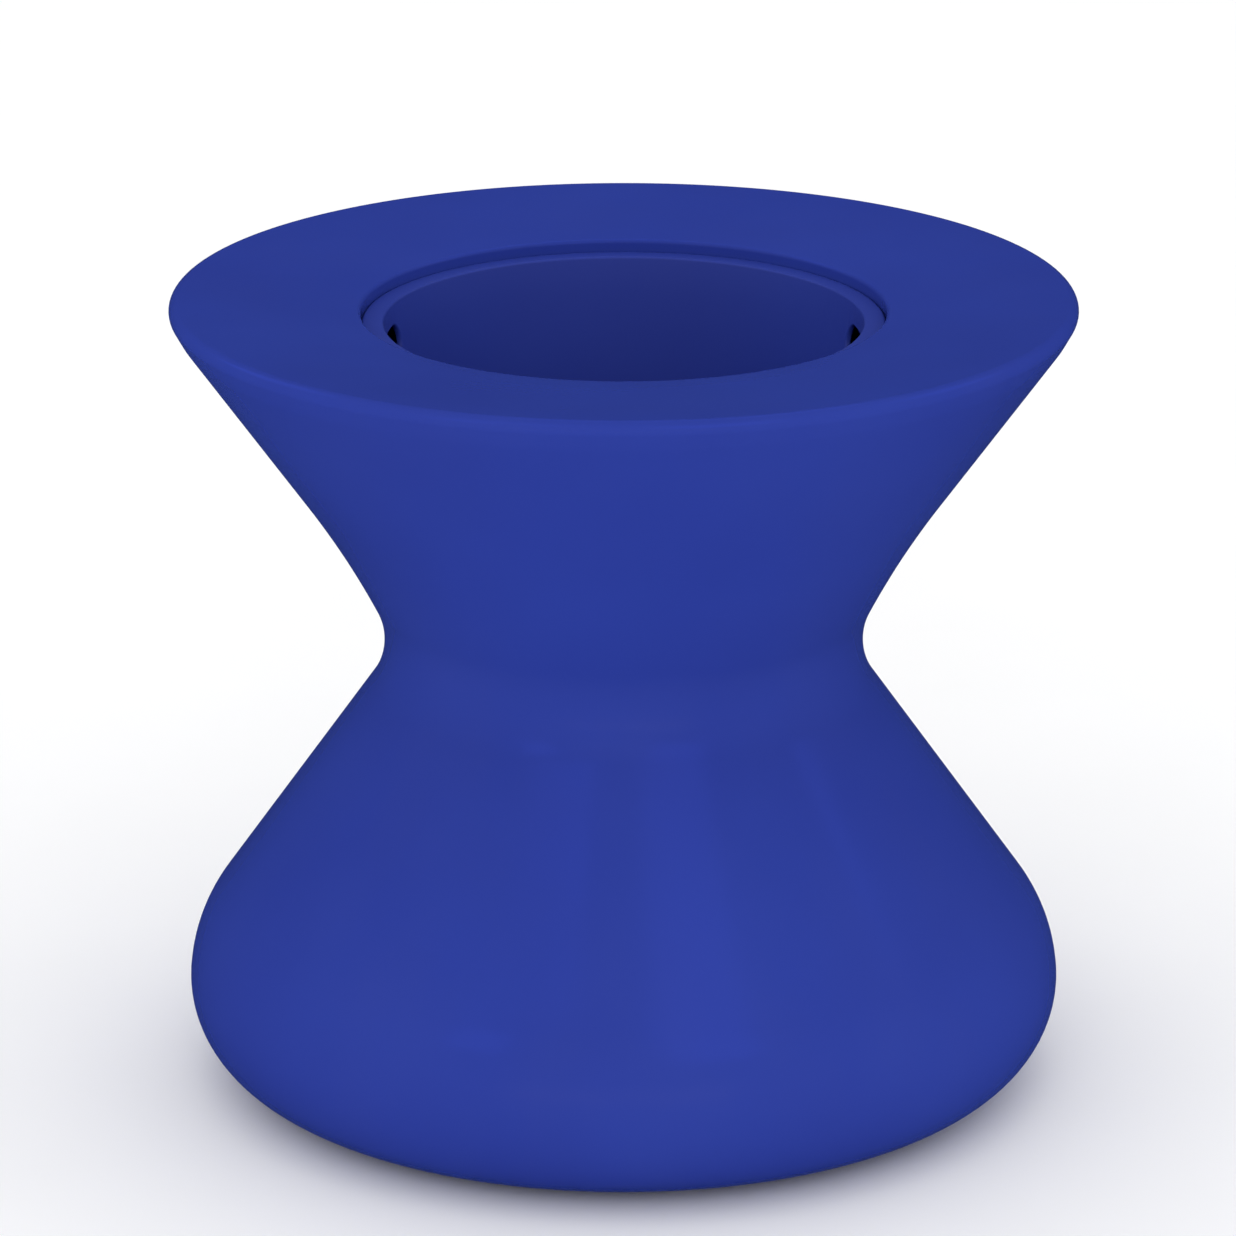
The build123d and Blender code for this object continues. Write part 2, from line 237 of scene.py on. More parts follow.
# Studio, with lengths in metres and powers in watts
sky_strength = 1.10
sky_in_gloss = (0.020, 0.033, 0.125)
floor_drop = 0.2 * mm
floor_half = 20.0
table_middle = (0, 0, 0.28)
key_place = (-0.4, -4.2, 2.6)
key_size = (2.6, 2.2)
key_power = 17
fill_place = (0.0, -3.2, 0.3)
fill_aim = (0, 0, 0.1)
fill_size = (3.6, 0.5)
fill_power = 12
window_tint = (0.07, 0.13, 1.0)
window_strength = 5.4
window_distance = 3.5

# Windows in the gloss: turn from the front and rise in degrees, width and height
windows = {
    "right": (25, 37.5, 1.4, 1.8),
    "left_high": (-31, 49.0, 1.25, 0.5),
    "left_low": (-41, 31.0, 0.8, 0.9),
    "side": (100, 40.0, 1.4, 1.4),
    "back": (170, 60.0, 1.6, 0.6),
    "far": (245, 40.0, 1.4, 1.4),
}

# Heights and a slope that follow from the sizes above
base_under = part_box("foot_pads")[0].z + pad_stand + recess_depth
foot_height = base_under - recess_depth
mouth_height = table_height - ring_fall
ledge_height = mouth_height - ledge_depth
lip_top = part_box("ice_bin")[1].z
lip_under = lip_top - bin_lip_height
bin_floor_height = lip_top - bin_depth
sump_height = bin_floor_height - bin_floor_fall
sump_seat = sump_height - sump_depth
bin_slope = (bin_mouth_radius - bin_floor_radius) / bin_depth


# Outlines

def flat(points):
    """Radius and height pairs as points in the plane of the table's axis."""
    return [Vector((radius, 0, height)) for radius, height in points]


def corner_arc(before, corner, after, radius):
    """Start, end and centre of the arc that rounds a corner."""
    back = (before - corner).normalized()
    onward = (after - corner).normalized()
    half = back.angle(onward) / 2
    reach = radius / math.tan(half)
    centre = corner + (back + onward).normalized() * radius / math.sin(half)
    return corner + back * reach, corner + onward * reach, centre


def reach_radius(before, corner, after, reach):
    """Radius of the arc that starts at this reach from the corner."""
    return reach * math.tan((before - corner).angle(after - corner) / 2)


def vertices_of(made):
    """The vertices among what an operator made."""
    return [item for item in made if isinstance(item, bmesh.types.BMVert)]


def draw(corners, rounds, closed=True):
    """Wire outline with an arc at each rounded corner, divided evenly along its straight runs."""
    bm = bmesh.new()
    first = None
    pen = None
    for index, corner in enumerate(corners):
        radius = rounds.get(index, 0)
        start = corner
        if radius:
            after = corners[(index + 1) % len(corners)]
            start, end, centre = corner_arc(corners[index - 1], corner, after, radius)
        vertex = bm.verts.new(start)
        if pen:
            bm.edges.new((pen, vertex))
        first = first or vertex
        pen = vertex
        if radius:
            spokes = (start - centre, end - centre)
            turn = spokes[0].angle(spokes[1])
            step = 2 * math.acos(1 - arc_stray / radius)
            made = bmesh.ops.spin(
                bm, geom=[pen], cent=centre, axis=spokes[0].cross(spokes[1]).normalized(),
                dvec=(0, 0, 0), angle=turn, steps=max(fewest_arc_steps, math.ceil(turn / step)),
                use_merge=False, use_normal_flip=False, use_duplicate=False,
            )
            pen = vertices_of(made["geom_last"])[0]
    if closed:
        bm.edges.new((pen, first))
    for edge in list(bm.edges):
        cuts = int(edge.calc_length() / ring_spacing)
        if cuts:
            bmesh.ops.subdivide_edges(bm, edges=[edge], cuts=cuts)
    return bm


def put_in_order(bm):
    """Lists edges and faces by their corners, as a spin lists them differently in each run."""
    bm.verts.index_update()
    count = len(bm.verts)

    def rank(item):
        total = 0
        for corner in sorted(vertex.index for vertex in item.verts)[:3]:
            total = total * count + corner
        return total

    bm.edges.sort(key=rank)
    bm.faces.sort(key=rank)


def turn_round(bm, steps):
    """Turns an outline once round the table's axis."""
    bmesh.ops.spin(
        bm, geom=bm.verts[:] + bm.edges[:], cent=(0, 0, 0), axis=(0, 0, 1), dvec=(0, 0, 0),
        angle=2 * math.pi, steps=steps, use_merge=True, use_normal_flip=False, use_duplicate=False,
    )
    put_in_order(bm)
    bmesh.ops.remove_doubles(bm, verts=bm.verts, dist=weld)
    bmesh.ops.recalc_face_normals(bm, faces=bm.faces)
    return bm


def turned(points, rounds, steps=fitting_steps, closed=True):
    """Solid of revolution from an outline of radius and height pairs."""
    return turn_round(draw(flat(points), rounds, closed), steps)


def beside(path, rounds, distance):
    """The same path, moved sideways to its left by this distance, with its arcs to match."""
    runs = [(b - a).normalized() for a, b in zip(path, path[1:])]
    sides = [Vector((-run.z, 0, run.x)) for run in runs]
    shifted = [path[0] + sides[0] * distance]
    for corner, (side, onward) in zip(path[1:-1], zip(sides, sides[1:])):
        shifted.append(corner + (side + onward) * distance / (1 + side.dot(onward)))
    shifted.append(path[-1] + sides[-1] * distance)
    arcs = {}
    for index, radius in rounds.items():
        before, after = runs[index - 1], runs[index]
        bend = math.copysign(1, before.x * after.z - before.z * after.x)
        arcs[index] = max(radius - bend * distance, 0)
    return shifted, arcs


def wall_outline(path, rounds, distance):
    """Closed outline of a wall: out along the path and back beside it."""
    back, arcs = beside(path, rounds, distance)
    last = 2 * len(path) - 1
    both = dict(rounds)
    both.update({last - index: radius for index, radius in arcs.items()})
    return path + back[::-1], both


# Pieces

def as_object(bm, name):
    """Object of this mesh, smooth but for its creases."""
    for face in bm.faces:
        face.smooth = True
    for edge in bm.edges:
        edge.smooth = not edge.is_manifold or edge.calc_face_angle() < crease_angle
    mesh = bpy.data.meshes.new(name)
    bm.to_mesh(mesh)
    bm.free()
    piece = bpy.data.objects.new(name, mesh)
    bpy.context.scene.collection.objects.link(piece)
    return piece


def joined(bm, other, operation):
    """This mesh with another one cut from it or added to it."""
    base = as_object(bm, "base")
    tool = as_object(other, "tool")
    change = base.modifiers.new("change", "BOOLEAN")
    change.operation = operation
    change.solver = "EXACT"
    change.object = tool
    seen = base.evaluated_get(bpy.context.evaluated_depsgraph_get())
    result = bmesh.new()
    result.from_mesh(seen.to_mesh())
    seen.to_mesh_clear()
    for used in (base, tool):
        mesh = used.data
        bpy.data.objects.remove(used)
        bpy.data.meshes.remove(mesh)
    bmesh.ops.remove_doubles(result, verts=result.verts, dist=weld)
    return result


def gather(parts):
    """Several meshes as one."""
    whole_mesh = bmesh.new()
    for part in parts:
        mesh = bpy.data.meshes.new("part")
        part.to_mesh(mesh)
        part.free()
        whole_mesh.from_mesh(mesh)
        bpy.data.meshes.remove(mesh)
    return whole_mesh


def moved(bm, place):
    """The mesh at another place."""
    bmesh.ops.translate(bm, verts=bm.verts, vec=place)
    return bm


def post(radius, low, high):
    """Round post on the axis between two heights."""
    return turned([(0, low), (radius, low), (radius, high), (0, high)], {}, closed=False)


def set_down(bm, name, body, material, slot_name, *replaced):
    """Puts a finished piece on its body, in place of its nodes."""
    piece = as_object(bm, name)
    piece.data.materials.append(material)
    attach(piece, body)
    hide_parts(*replaced)


def thread(radius, depth, pitch, low, turns, outward):
    """Helical ridge on a round wall, with its root sunk a little into the wall."""
    away = 1 if outward else -1
    bm = bmesh.new()
    root = radius - away * fine_edge
    crest = radius + away * depth
    section = [
        (reach, low + pitch * share)
        for reach, share in zip((root, crest, crest, root), thread_shares)
    ]
    face = bm.faces.new([bm.verts.new(point) for point in flat(section)])
    bmesh.ops.spin(
        bm, geom=[face], cent=(0, 0, 0), axis=(0, 0, 1), dvec=(0, 0, pitch / thread_steps),
        angle=2 * math.pi * turns, steps=thread_steps * turns,
        use_merge=False, use_normal_flip=False, use_duplicate=False,
    )
    put_in_order(bm)
    bmesh.ops.recalc_face_normals(bm, faces=bm.faces)
    return bm


def pad_places():
    """The foot pads stand evenly round the foot ring, one on the X axis."""
    for pad in range(pad_count):
        turn = 2 * math.pi * pad / pad_count
        yield Vector((math.cos(turn), math.sin(turn), 0)) * pad_circle_radius


# Materials

def new_material(name, colour, roughness):
    """A principled material with plain values on its own sockets."""
    material = bpy.data.materials.new(name)
    material.use_nodes = True
    tree = material.node_tree
    shader = tree.nodes["Principled BSDF"]
    shader.inputs["Base Color"].default_value = (*colour, 1)
    shader.inputs["Roughness"].default_value = roughness
    return material, tree, shader


def coordinates(tree):
    """Object coordinates, in metres."""
    return tree.nodes.new("ShaderNodeTexCoord").outputs["Object"]


def noise(tree, scale, detail=3.0, stretch=None):
    """Noise field of this many grains to the metre."""
    field = tree.nodes.new("ShaderNodeTexNoise")
    field.inputs["Scale"].default_value = scale
    field.inputs["Detail"].default_value = detail
    source = coordinates(tree)
    if stretch:
        mapping = tree.nodes.new("ShaderNodeMapping")
        mapping.inputs["Scale"].default_value = stretch
        tree.links.new(source, mapping.inputs["Vector"])
        source = mapping.outputs["Vector"]
    tree.links.new(source, field.inputs["Vector"])
    return field.outputs["Fac"]


def beads(tree, feature):
    """Distance field of the foam's beads, from their middles or from their seams."""
    field = tree.nodes.new("ShaderNodeTexVoronoi")
    field.feature = feature
    field.inputs["Scale"].default_value = beads_to_metre
    tree.links.new(coordinates(tree), field.inputs["Vector"])
    return field.outputs["Distance"]


def spread(tree, field, given, wanted):
    """A field taken from one range to another, and held inside it."""
    ranged = tree.nodes.new("ShaderNodeMapRange")
    for index, value in enumerate((*given, *wanted), start=1):
        ranged.inputs[index].default_value = value
    tree.links.new(field, ranged.inputs["Value"])
    return ranged.outputs["Result"]


def combined(tree, operation, field, other):
    """Two fields multiplied or added."""
    result = tree.nodes.new("ShaderNodeMath")
    result.operation = operation
    tree.links.new(field, result.inputs[0])
    tree.links.new(other, result.inputs[1])
    return result.outputs["Value"]


def mixer(tree, low, high):
    """Colour mix between two colours, either of which may be a link already."""
    mix = tree.nodes.new("ShaderNodeMix")
    mix.data_type = "RGBA"
    for place, colour in ((mix_low, low), (mix_high, high)):
        if isinstance(colour, bpy.types.NodeSocket):
            tree.links.new(colour, mix.inputs[place])
        else:
            mix.inputs[place].default_value = (*colour, 1)
    return mix.inputs["Factor"], mix.outputs[mix_result]


def blend_colours(tree, field, low, high):
    """Colour that goes from one to another with a field."""
    factor, colour = mixer(tree, low, high)
    tree.links.new(field, factor)
    return colour


def relief(tree, layers):
    """Bump of several height fields, each with its depth in metres."""
    normal = None
    for field, depth in layers:
        bump = tree.nodes.new("ShaderNodeBump")
        bump.inputs["Distance"].default_value = depth
        tree.links.new(field, bump.inputs["Height"])
        if normal:
            tree.links.new(normal, bump.inputs["Normal"])
        normal = bump.outputs["Normal"]
    return normal


def fade_upward(tree, low, high):
    """Field that is 1 up to one height and fades to 0 at a higher one."""
    split = tree.nodes.new("ShaderNodeSeparateXYZ")
    tree.links.new(coordinates(tree), split.inputs["Vector"])
    return spread(tree, split.outputs["Z"], (low, high), (1, 0))


def dress(tree, shader, colour=None, roughness=None, normal=None):
    """Links the fields that vary over the surface."""
    for socket, field in (("Base Color", colour), ("Roughness", roughness), ("Normal", normal)):
        if field is not None:
            tree.links.new(field, shader.inputs[socket])


def moulded_blue(name, gloss):
    """Polyethylene skin: even blue with faint clouds, a soft orange peel and scuffs at the foot."""
    deep = (0.0215, 0.0395, 0.277)
    clear = (0.0239, 0.0444, 0.299)
    scuffed = (0.029, 0.053, 0.321)
    material, tree, shader = new_material(name, clear, gloss)
    shader.inputs["Specular IOR Level"].default_value = 0.2
    clouds = spread(tree, noise(tree, scale=5.5, detail=2.0), noise_middle, whole)
    colour = blend_colours(tree, clouds, deep, clear)
    scratches = noise(tree, scale=160, detail=6.0, stretch=(1, 1, 0.25))
    marks = spread(tree, scratches, (0.58, 0.70), whole)
    low_down = fade_upward(tree, scuff_full_height, scuff_end_height)
    scuffs = combined(tree, "MULTIPLY", marks, low_down)
    colour = blend_colours(tree, combined(tree, "MULTIPLY", scuffs, scuffs), colour, scuffed)
    wiped = noise(tree, scale=14, detail=5.0, stretch=(1, 1, 0.4))
    smears = spread(tree, wiped, (0.3, 0.75), (gloss - 0.035, gloss + 0.06))
    roughness = combined(tree, "ADD", smears, spread(tree, scuffs, whole, (0, 0.25)))
    normal = relief(tree, [
        (noise(tree, scale=9, detail=1.0), 0.9 * mm),
        (noise(tree, scale=210, detail=2.0), 0.02 * mm),
    ])
    dress(tree, shader, colour, roughness, normal)
    return material


def bead_foam():
    """White closed-cell foam with its beads showing."""
    material, tree, shader = new_material("bead_foam", (0.78, 0.78, 0.76), 0.85)
    middles = beads(tree, "F1")
    seams = spread(tree, beads(tree, "DISTANCE_TO_EDGE"), (0, 0.10), whole)
    colour = blend_colours(tree, seams, (0.60, 0.60, 0.58), (0.80, 0.80, 0.78))
    roughness = spread(tree, noise(tree, scale=60), noise_middle, (0.78, 0.92))
    normal = relief(tree, [
        (middles, -0.5 * mm),
        (noise(tree, scale=900), 0.05 * mm),
    ])
    dress(tree, shader, colour, roughness, normal)
    return material


def plain_plastic(name, low, high, gloss, grain_depth):
    """Injection-moulded plastic with a slight cloud in its colour and a fine eroded grain."""
    material, tree, shader = new_material(name, high, gloss)
    clouds = spread(tree, noise(tree, scale=45, detail=4.0), noise_middle, whole)
    colour = blend_colours(tree, clouds, low, high)
    handled = noise(tree, scale=120, detail=4.0)
    roughness = spread(tree, handled, noise_middle, (gloss - 0.05, gloss + 0.08))
    normal = relief(tree, [
        (noise(tree, scale=1100, detail=2.0), grain_depth),
        (noise(tree, scale=90, detail=1.0), 0.05 * mm),
    ])
    dress(tree, shader, colour, roughness, normal)
    return material


def soft_rubber():
    """Black rubber with a dusty bloom."""
    material, tree, shader = new_material("soft_rubber", (0.018, 0.018, 0.019), 0.7)
    bloom = spread(tree, noise(tree, scale=70, detail=5.0), (0.45, 0.75), whole)
    colour = blend_colours(tree, bloom, (0.016, 0.016, 0.017), (0.045, 0.044, 0.042))
    roughness = spread(tree, noise(tree, scale=240), noise_middle, (0.62, 0.84))
    normal = relief(tree, [(noise(tree, scale=1300, detail=2.0), 0.03 * mm)])
    dress(tree, shader, colour, roughness, normal)
    return material


def brushed_metal():
    """Stainless steel with a turned finish."""
    material, tree, shader = new_material("brushed_metal", (0.58, 0.58, 0.57), 0.3)
    shader.inputs["Metallic"].default_value = 1
    lines = noise(tree, scale=900, detail=2.0, stretch=(1, 0.05, 1))
    colour = blend_colours(tree, lines, (0.50, 0.50, 0.49), (0.64, 0.64, 0.63))
    streaks = noise(tree, scale=300, stretch=(1, 0.1, 1))
    roughness = spread(tree, streaks, noise_middle, (0.22, 0.42))
    normal = relief(tree, [(lines, 0.01 * mm)])
    dress(tree, shader, colour, roughness, normal)
    return material


# Sub-parts

def body_path():
    """Outer skin of the body, from the outlet's hole under the base round to the ledge."""
    path = flat([
        (outlet_hole_radius, base_under),
        (recess_radius - recess_draft, base_under),
        (recess_radius, foot_height),
        (foot_radius, foot_height),
        (skirt_radius, foot_height + skirt_rise),
        (waist_radius, waist_height),
        (waist_radius + waist_flare, waist_height + waist_rise),
        (brow_radius, table_height - brow_drop),
        (rim_radius, table_height),
        (mouth_radius, mouth_height),
        (mouth_radius, ledge_height),
        (mouth_radius - ledge_width, ledge_height),
    ])
    skirt = (path[4] - path[3]).length
    waist = (path[6] - path[5]).length
    brow = (path[8] - path[7]).length
    reaches = {
        3: foot_arc_share * skirt,
        4: skirt_arc_share * skirt,
        5: waist_low_arc_share * waist,
        6: waist_high_arc_share * waist,
        7: brow_arc_share * brow,
    }
    rounds = {1: recess_round, 2: recess_round, 8: rim_round, 9: mouth_round}
    for index, reach in reaches.items():
        rounds[index] = reach_radius(*path[index - 1:index + 2], reach)
    return path, rounds


def table_body(blue):
    """The hollow hourglass skin with its pad pockets and bosses."""
    path, rounds = body_path()
    outline, arcs = wall_outline(path, rounds, shell_wall)
    shell = turn_round(draw(outline, arcs), body_steps)
    pocket_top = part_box("foot_pads")[1].z
    boss_top = foot_height + shell_wall + pad_boss_height
    bosses = [moved(post(pad_boss_radius, pocket_top, boss_top), place) for place in pad_places()]
    shell = joined(shell, gather(bosses), "UNION")
    bung_hole = post(bung_hole_radius, base_under - overrun, base_under + shell_wall + overrun)
    cuts = [moved(bung_hole, Vector((bung_offset, 0, 0)))]
    for place in pad_places():
        pocket = post(pad_radius + pad_pocket_gap, foot_height - overrun, pocket_top)
        cuts.append(moved(pocket, place))
    shell = joined(shell, gather(cuts), "DIFFERENCE")
    set_down(shell, "moulded_body", "table", blue, "body_blue", "table_shell")


def bin_inner_radius(height):
    """Inside of the bin's tapered wall at a height."""
    return bin_mouth_radius + bin_slope * (height - lip_top)


def bin_outer_radius(height, thickness):
    """Outside of this thickness on the bin's tapered inner face, at a height."""
    return bin_inner_radius(height) + thickness * math.hypot(1, bin_slope)


def bin_section():
    """Inner path of the bin, from the drain hole to the top of the wall, and its arcs."""
    path = flat([
        (drain_hole_radius, sump_seat),
        (sump_radius, sump_seat),
        (sump_radius, sump_height),
        (bin_floor_radius, bin_floor_height),
        (bin_mouth_radius, lip_top),
    ])
    return path, {3: bin_floor_round}


def slot_cutter(side):
    """Cutter for a hand slot: made flat, flared at both faces of the wall, then bent to it."""
    middle = lip_under - hand_slot_drop - hand_slot_height / 2
    half = hand_slot_height / 2
    straight = hand_slot_width / 2 - half
    rows = [(hand_slot_edge * slot_overreach, -hand_slot_edge * slot_overreach)]
    for step in range(slot_edge_steps + 1):
        turn = math.pi / 2 * step / slot_edge_steps
        rows.append((hand_slot_edge * (1 - math.sin(turn)), hand_slot_edge * (1 - math.cos(turn))))
    rows += [(grow, bin_wall - depth) for grow, depth in rows[::-1]]
    bm = bmesh.new()
    loops = []
    for grow, depth in rows:
        ring = bmesh.ops.create_circle(bm, radius=half + grow, segments=slot_steps)["verts"]
        for vertex in ring:
            across = vertex.co.x + math.copysign(straight, vertex.co.x)
            vertex.co = (depth, across, middle + vertex.co.y)
        loops.append(list(dict.fromkeys(edge for vertex in ring for edge in vertex.link_edges)))
    for low, high in zip(loops, loops[1:]):
        bmesh.ops.bridge_loops(bm, edges=low + high)
    bmesh.ops.holes_fill(bm, edges=loops[0] + loops[-1], sides=0)
    for cut in range(slot_cuts + 1):
        across = straight * (2 * cut / slot_cuts - 1)
        bmesh.ops.bisect_plane(bm, geom=bm.verts[:] + bm.edges[:] + bm.faces[:], dist=weld,
                               plane_co=(0, across, 0), plane_no=(0, 1, 0))
    for vertex in bm.verts:
        depth, y, z = vertex.co
        wall = bin_inner_radius(z)
        vertex.co.x = side * (math.sqrt(wall ** 2 - y ** 2) + depth)
    bmesh.ops.recalc_face_normals(bm, faces=bm.faces)
    if bm.calc_volume(signed=True) < 0:
        bmesh.ops.reverse_faces(bm, faces=bm.faces)
    return bm


def ice_bin(blue):
    """Tapered bucket with a flat lip, round-edged hand slots and a sump for the drain."""
    path, inner_arcs = bin_section()
    outside, outer_arcs = beside(path, inner_arcs, -bin_wall)
    lip = flat([
        (bin_lip_radius, lip_top),
        (bin_lip_radius, lip_under),
        (bin_outer_radius(lip_under, bin_wall), lip_under),
    ])
    rounds = {
        2: fitting_edge, 3: bin_floor_round, 4: bin_lip_round, 5: bin_lip_round,
        8: outer_arcs[3], 10: bin_foot_round,
    }
    bucket = turn_round(draw(path + lip + outside[-2::-1], rounds), body_steps)
    bucket = joined(bucket, gather([slot_cutter(1), slot_cutter(-1)]), "DIFFERENCE")
    set_down(bucket, "ice_bucket", "bin", blue, "bin_blue", "ice_bin")


def foam_jacket(foam):
    """Foam cup under the bucket, with soft edges."""
    path, inner_arcs = bin_section()
    inside, arcs = beside(path, inner_arcs, -(bin_wall + jacket_gap))
    low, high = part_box("bin_insulation")
    hole = sump_radius + bin_wall + jacket_gap
    outline = flat([
        (hole, low.z),
        (jacket_base_radius, low.z),
        (high.x, high.z),
        (bin_outer_radius(high.z, bin_wall + jacket_gap), high.z),
        (inside[3].x, inside[3].z),
        (hole, inside[2].z),
    ])
    rounds = {1: jacket_edge, 2: jacket_edge, 3: jacket_edge, 4: arcs[3], 5: fitting_edge}
    jacket = turn_round(draw(outline, rounds), body_steps)
    set_down(jacket, "foam_jacket", "bin", foam, "foam", "bin_insulation")


def drain_fitting(white):
    """Flanged cup in the bin's floor with a spigot below it."""
    flange_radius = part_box("drain_body")[1].x
    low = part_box("drain_body")[0].z
    thread_low = sump_height - drain_thread_length
    spigot_high = thread_low - spigot_neck
    seat = sump_height - drain_cup_depth
    groove = low + spigot_seal_height
    body = turned([
        (drain_bore, low),
        (spigot_radius, low),
        (spigot_radius, groove - spigot_groove_half),
        (spigot_radius - spigot_groove_depth, groove - spigot_groove_half),
        (spigot_radius - spigot_groove_depth, groove + spigot_groove_half),
        (spigot_radius, groove + spigot_groove_half),
        (spigot_radius, spigot_high),
        (drain_thread_radius, thread_low),
        (drain_thread_radius, sump_height - drain_flange_height),
        (flange_radius, sump_height - drain_flange_height),
        (flange_radius, sump_height),
        (drain_cup_radius, sump_height),
        (drain_cup_radius, seat),
        (drain_bore, seat),
    ], {
        1: spigot_round, 2: fine_edge, 5: fine_edge, 6: spigot_round, 7: fitting_edge,
        10: drain_flange_round, 11: fitting_edge, 13: fine_edge,
    })
    set_down(body, "drain_fitting", "bin", white, "fitting_white", "drain_body")


def stopper(white):
    """Drain stopper with a fluted knob."""
    low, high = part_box("drain_stopper")
    flange_top = sump_height + stopper_flange_height
    neck_top = flange_top + stopper_neck_height
    groove = sump_height - stopper_seal_drop
    knob = turned([
        (0, low.z),
        (stopper_shank_radius, low.z),
        (stopper_shank_radius, groove - spigot_groove_half),
        (stopper_groove_radius - spigot_groove_half, groove - spigot_groove_half),
        (stopper_groove_radius - spigot_groove_half, groove + spigot_groove_half),
        (stopper_shank_radius, groove + spigot_groove_half),
        (stopper_shank_radius, sump_height),
        (high.x, sump_height),
        (high.x, flange_top),
        (stopper_neck_radius, flange_top),
        (stopper_neck_radius, neck_top),
        (stopper_knob_radius, neck_top),
        (stopper_knob_radius, high.z),
        (0, high.z),
    ], {
        1: shank_round, 2: fine_edge, 5: fine_edge, 8: flange_round, 9: stopper_neck_round,
        10: stopper_neck_round, 11: flange_round, 12: stopper_knob_round,
    }, steps=knob_flute_count * knob_flute_steps, closed=False)
    for vertex in knob.verts:
        radius = math.hypot(vertex.co.x, vertex.co.y)
        if vertex.co.z > neck_top - fine_edge and radius > stopper_neck_radius:
            share = (radius - stopper_neck_radius) / (stopper_knob_radius - stopper_neck_radius)
            wave = (1 - math.cos(knob_flute_count * math.atan2(vertex.co.y, vertex.co.x))) / 2
            scale = 1 - share * share * wave * knob_flute_depth / radius
            vertex.co.x *= scale
            vertex.co.y *= scale
    set_down(knob, "stopper_with_knob", "stopper", white, "fitting_white", "drain_stopper")


def standpipe(white):
    """Plain pipe with a bell at its top."""
    low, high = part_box("standpipe")
    pipe_radius = pipe_bore + pipe_wall
    pipe = turned([
        (pipe_bore, low.z),
        (pipe_radius, low.z),
        (pipe_radius, high.z - bell_height),
        (high.x, high.z),
        (high.x - bell_wall, high.z),
        (pipe_bore, high.z - bell_height + bell_wall),
    ], {
        0: fine_edge, 1: fine_edge, 2: bell_round, 3: fine_edge, 4: fine_edge, 5: bell_round,
    })
    set_down(pipe, "drain_standpipe", "table", white, "fitting_white", "standpipe")


def outlet(black):
    """Flanged outlet under the base with a hose thread in its socket."""
    low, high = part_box("outlet_fitting")
    seat = low.z + outlet_stub_length + outlet_flange_height
    socket_top = low.z + outlet_socket_depth
    body = turned([
        (outlet_socket_radius, low.z),
        (outlet_stub_radius, low.z),
        (outlet_stub_radius, seat - outlet_flange_height),
        (high.x, seat - outlet_flange_height),
        (high.x, seat),
        (outlet_tail_radius, seat),
        (outlet_tail_radius, high.z),
        (drain_bore, high.z),
        (drain_bore, socket_top),
        (outlet_socket_radius, socket_top),
    ], {
        0: fitting_edge, 1: flange_round, 2: outlet_stub_round, 3: flange_round,
        6: shank_round, 7: fitting_edge, 8: fitting_edge,
    })
    ridge = thread(outlet_socket_radius, hose_thread_depth, hose_thread_pitch,
                   low.z + hose_thread_start, hose_thread_turns, outward=False)
    body = joined(body, ridge, "UNION")
    set_down(body, "drain_outlet_fitting", "table", black, "fitting_black", "outlet_fitting")


def bung(black):
    """Flanged sleeve that takes the ballast plug."""
    low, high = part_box("ballast_bung")
    flange_radius = (high.x - low.x) / 2
    seat = low.z + bung_flange_height
    sleeve = turned([
        (bung_bore, low.z),
        (flange_radius, low.z),
        (flange_radius, seat),
        (bung_barrel_radius, seat),
        (bung_barrel_radius, high.z),
        (bung_bore, high.z),
    ], {0: fitting_edge, 1: bung_flange_round, 4: fitting_edge, 5: fine_edge})
    sleeve = moved(sleeve, Vector((bung_offset, 0, 0)))
    set_down(sleeve, "ballast_sleeve", "table", black, "fitting_black", "ballast_bung")


def grip_bar(low, top):
    """Rounded bar that the plug is turned by."""
    bm = bmesh.new()
    bmesh.ops.create_circle(bm, radius=plug_grip_width / 2, segments=grip_steps, cap_ends=True)
    straight = (plug_grip_length - plug_grip_width) / 2
    for vertex in bm.verts:
        vertex.co.x += math.copysign(straight, vertex.co.x)
        vertex.co.z = low
    made = bmesh.ops.extrude_face_region(bm, geom=bm.faces[:])
    bmesh.ops.translate(bm, verts=vertices_of(made["geom"]), vec=(0, 0, top - low))
    rims = [edge for edge in bm.edges if all(vertex.co.z < low + weld for vertex in edge.verts)]
    bmesh.ops.bevel(bm, geom=rims, offset=plug_grip_round, segments=grip_round_steps, profile=0.5,
                    affect="EDGES", material=-1)
    bmesh.ops.recalc_face_normals(bm, faces=bm.faces)
    return bm


def ballast_plug(black):
    """Hollow plug with a ring groove, a threaded shank and a bar to turn it by."""
    low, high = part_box("ballast_plug")
    face = high.z - plug_shank_length
    flange_low = face - plug_flange_height
    flange_radius = (high.x - low.x) / 2
    core = plug_shank_radius - plug_thread_depth
    plug = turned([
        (0, flange_low),
        (flange_radius, flange_low),
        (flange_radius, face),
        (plug_ring_radius + plug_groove_half, face),
        (plug_ring_radius + plug_groove_half, face - plug_groove_depth),
        (plug_ring_radius - plug_groove_half, face - plug_groove_depth),
        (plug_ring_radius - plug_groove_half, face),
        (core, face),
        (core, high.z),
        (plug_shank_bore, high.z),
        (plug_shank_bore, face),
        (0, face),
    ], {1: flange_round, 2: fine_edge, 8: fitting_edge, 9: fine_edge}, closed=False)
    ridge = thread(core, plug_thread_depth, plug_thread_pitch,
                   face + plug_thread_start, plug_thread_turns, outward=True)
    plug = joined(plug, ridge, "UNION")
    plug = joined(plug, grip_bar(low.z, flange_low + fitting_edge), "UNION")
    plug = moved(plug, Vector((bung_offset, 0, 0)))
    set_down(plug, "ballast_screw_plug", "ballast_cap", black, "fitting_black", "ballast_plug")


